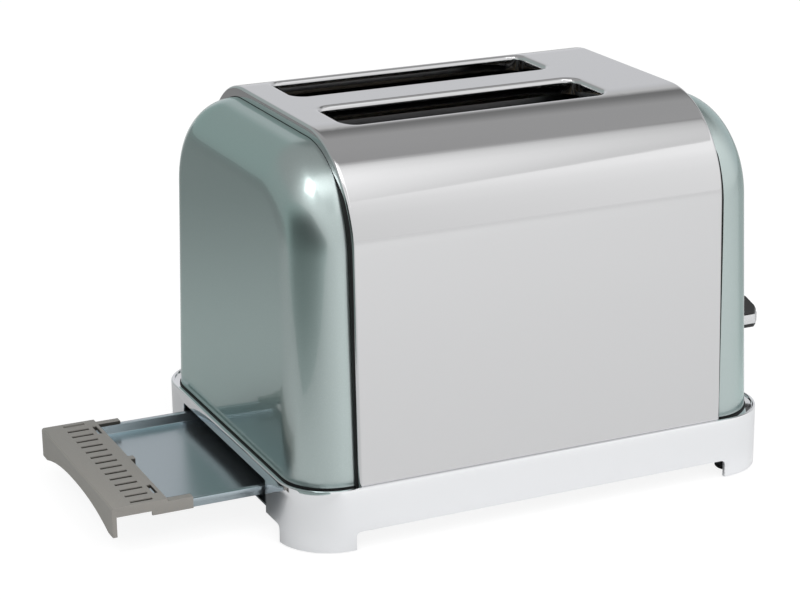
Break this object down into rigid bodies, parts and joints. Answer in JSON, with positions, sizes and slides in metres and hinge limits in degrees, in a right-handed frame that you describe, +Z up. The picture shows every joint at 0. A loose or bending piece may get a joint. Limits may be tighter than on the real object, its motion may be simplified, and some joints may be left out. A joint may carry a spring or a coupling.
{
  "type": "two-slice toaster",
  "caption": "Pop-up bread toaster with a polished wrap, domed painted end panels, a chrome base ring and a crumb tray that slides out of one end.",
  "frame": {"origin": "on the floor under the middle of the base ring", "axes": "+X towards the lever end, +Z up, -Y towards the front long side"},
  "size_m": [0.3636, 0.1944, 0.19],
  "materials": {
    "chrome_plate": "bright chrome plating",
    "pad_rubber": "matt",
    "zinc_sheet": "zinc plated sheet",
    "screw_steel": "zinc plated",
    "polished_stainless": "polished sheet",
    "green_paint": "pearl gloss enamel",
    "heat_sheet": "aluminised sheet",
    "dark_sheet": "black heat-proof coat",
    "mica_card": "mica sheet",
    "heater_ribbon": "oxidised ribbon",
    "guide_wire": "plated wire",
    "bright_steel": "bright drawn",
    "copper_winding": "enamelled copper wire",
    "black_plastic": "satin black",
    "knob_band": "bright trim",
    "board_laminate": "glass laminate",
    "post_nylon": "moulded",
    "lamp_lens": "clear light pipe",
    "grey_plastic": "fine texture"
  },
  "bodies": {
    "housing": {"base_ring": "chrome_plate", "board_posts": "post_nylon", "bottom_plate": "zinc_sheet", "bottom_screws": "screw_steel", "browning_potentiometer": "black_plastic", "button_switches": "black_plastic", "centre_reflector": "heat_sheet", "chassis_screws": "screw_steel", "control_board": "board_laminate", "cord_gland": "black_plastic", "foot_pads": "pad_rubber", "front_heat_shield": "heat_sheet", "front_inner_heater_card": "mica_card", "front_inner_heater_ribbon": "heater_ribbon", "front_outer_heater_card": "mica_card", "front_outer_heater_ribbon": "heater_ribbon", "guide_rods": "bright_steel", "indicator_lights": "lamp_lens", "left_chassis_plate": "zinc_sheet", "left_end_panel": "green_paint", "lift_spring": "bright_steel", "lower_bracket": "zinc_sheet", "magnet_coil": "copper_winding", "magnet_core": "bright_steel", "mains_switch": "black_plastic", "panel_screws": "screw_steel", "rear_heat_shield": "heat_sheet", "rear_inner_heater_card": "mica_card", "rear_inner_heater_ribbon": "heater_ribbon", "rear_outer_heater_card": "mica_card", "rear_outer_heater_ribbon": "heater_ribbon", "right_chassis_plate": "zinc_sheet", "right_end_panel": "green_paint", "terminal_block": "black_plastic", "top_guide_plate": "dark_sheet", "tray_runners": "zinc_sheet", "upper_bracket": "zinc_sheet", "wrap_shell": "polished_stainless"},
    "lift_carriage": {"carriage_plate": "zinc_sheet", "lever_arm": "bright_steel", "latch_armature": "bright_steel", "lever_knob": "black_plastic", "lever_knob_band": "knob_band", "front_bread_lifter": "zinc_sheet", "rear_bread_lifter": "zinc_sheet"},
    "front_slot_front_grid": {"front_slot_front_guide": "guide_wire"},
    "front_slot_rear_grid": {"front_slot_rear_guide": "guide_wire"},
    "rear_slot_front_grid": {"rear_slot_front_guide": "guide_wire"},
    "rear_slot_rear_grid": {"rear_slot_rear_guide": "guide_wire"},
    "dial": {"browning_dial": "black_plastic", "dial_shaft": "bright_steel"},
    "button_1": {"push_button_1": "black_plastic"},
    "button_2": {"push_button_2": "black_plastic"},
    "button_3": {"push_button_3": "black_plastic"},
    "button_4": {"push_button_4": "black_plastic"},
    "crumb_tray": {"crumb_tray_pan": "zinc_sheet", "crumb_tray_handle": "grey_plastic"}
  },
  "joints": [
    {"name": "lever_lift", "type": "slide", "parent": "housing", "child": "lift_carriage", "axis": [0, 0, 1], "range_m": [0, 0.038], "deforming": ["lift_spring"]},
    {"name": "front_slot_front_guide_slide", "type": "slide", "parent": "housing", "child": "front_slot_front_grid", "axis": [0, -1, 0], "range_m": [0, 0.0055]},
    {"name": "front_slot_rear_guide_slide", "type": "slide", "parent": "housing", "child": "front_slot_rear_grid", "axis": [0, 1, 0], "range_m": [0, 0.0055]},
    {"name": "rear_slot_front_guide_slide", "type": "slide", "parent": "housing", "child": "rear_slot_front_grid", "axis": [0, -1, 0], "range_m": [0, 0.0055]},
    {"name": "rear_slot_rear_guide_slide", "type": "slide", "parent": "housing", "child": "rear_slot_rear_grid", "axis": [0, 1, 0], "range_m": [0, 0.0055]},
    {"name": "dial_turn", "type": "hinge", "parent": "housing", "child": "dial", "pos_m": [0.124, 0.056, 0.062], "axis": [1, 0, 0], "range_deg": [-135, 135]},
    {"name": "button_1_press", "type": "slide", "parent": "housing", "child": "button_1", "axis": [-1, 0, 0], "range_m": [0, 0.0015], "stiffness_N_per_m": 600},
    {"name": "button_2_press", "type": "slide", "parent": "housing", "child": "button_2", "axis": [-1, 0, 0], "range_m": [0, 0.0015], "stiffness_N_per_m": 600},
    {"name": "button_3_press", "type": "slide", "parent": "housing", "child": "button_3", "axis": [-1, 0, 0], "range_m": [0, 0.0015], "stiffness_N_per_m": 600},
    {"name": "button_4_press", "type": "slide", "parent": "housing", "child": "button_4", "axis": [-1, 0, 0], "range_m": [0, 0.0015], "stiffness_N_per_m": 600},
    {"name": "crumb_tray_slide", "type": "slide", "parent": "housing", "child": "crumb_tray", "axis": [1, 0, 0], "range_m": [-0.04, 0.075]}
  ],
  "couplings": [
    {"joint": "front_slot_front_guide_slide", "follows": "lever_lift", "ratio": 0.14474},
    {"joint": "front_slot_rear_guide_slide", "follows": "lever_lift", "ratio": 0.14474},
    {"joint": "rear_slot_front_guide_slide", "follows": "lever_lift", "ratio": 0.14474},
    {"joint": "rear_slot_rear_guide_slide", "follows": "lever_lift", "ratio": 0.14474}
  ]
}
